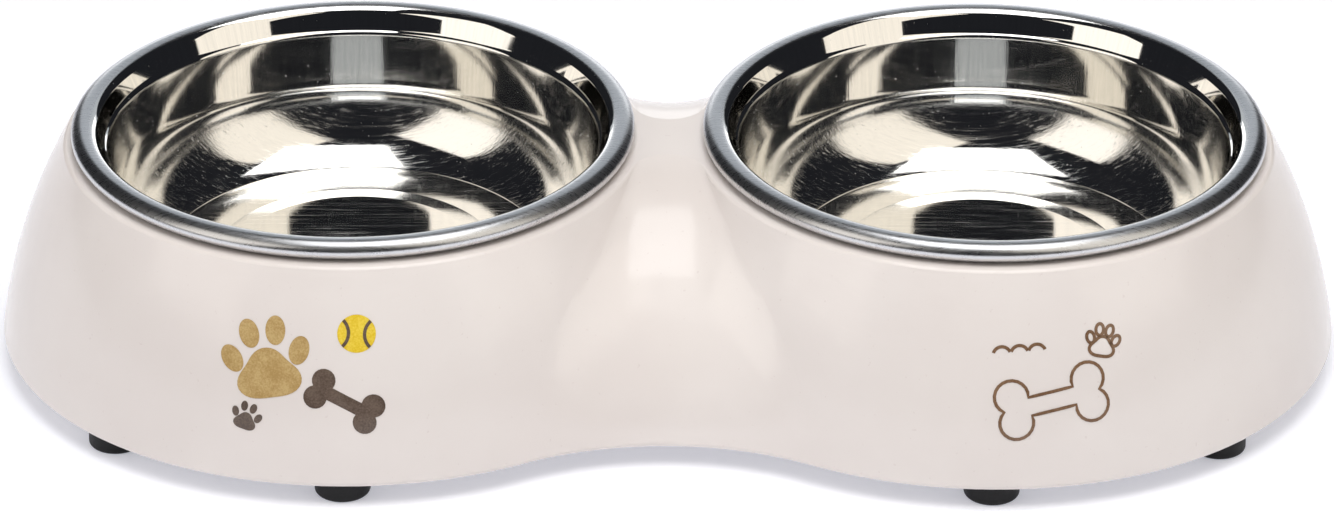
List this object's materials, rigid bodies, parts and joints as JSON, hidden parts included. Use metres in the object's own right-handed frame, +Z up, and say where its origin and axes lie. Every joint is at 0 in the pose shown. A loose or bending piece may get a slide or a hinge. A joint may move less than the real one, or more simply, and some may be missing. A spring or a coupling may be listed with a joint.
{
  "type": "double pet bowl",
  "caption": "Low peanut-shaped moulded stand on rubber feet that holds round steel feeding bowls side by side; each bowl has a rolled rim and lifts straight out.",
  "frame": {"origin": "on the table, midway between the two bowls: the bottom centre of the whole part's box", "axes": "+X along the row of two bowls to the right, +Z up, the decorated front faces -Y"},
  "size_m": [0.3342, 0.1772, 0.0616],
  "materials": {
    "melamine": "glossy moulded melamine, pale warm pink",
    "steel": "drawn stainless steel, polished wall, spun-brushed floor and rim",
    "rubber": "satin black rubber"
  },
  "bodies": {
    "stand": {"stand": "melamine", "left_front_foot": "rubber", "left_front_outer_foot": "rubber", "left_back_outer_foot": "rubber", "left_back_foot": "rubber", "right_front_foot": "rubber", "right_front_outer_foot": "rubber", "right_back_outer_foot": "rubber", "right_back_foot": "rubber"},
    "left_bowl": {"left_bowl": "steel"},
    "right_bowl": {"right_bowl": "steel"}
  },
  "joints": [
    {"name": "left_bowl_lift", "type": "slide", "parent": "stand", "child": "left_bowl", "axis": [0, 0, 1], "range_m": [0, 0.05]},
    {"name": "right_bowl_lift", "type": "slide", "parent": "stand", "child": "right_bowl", "axis": [0, 0, 1], "range_m": [0, 0.05]}
  ]
}
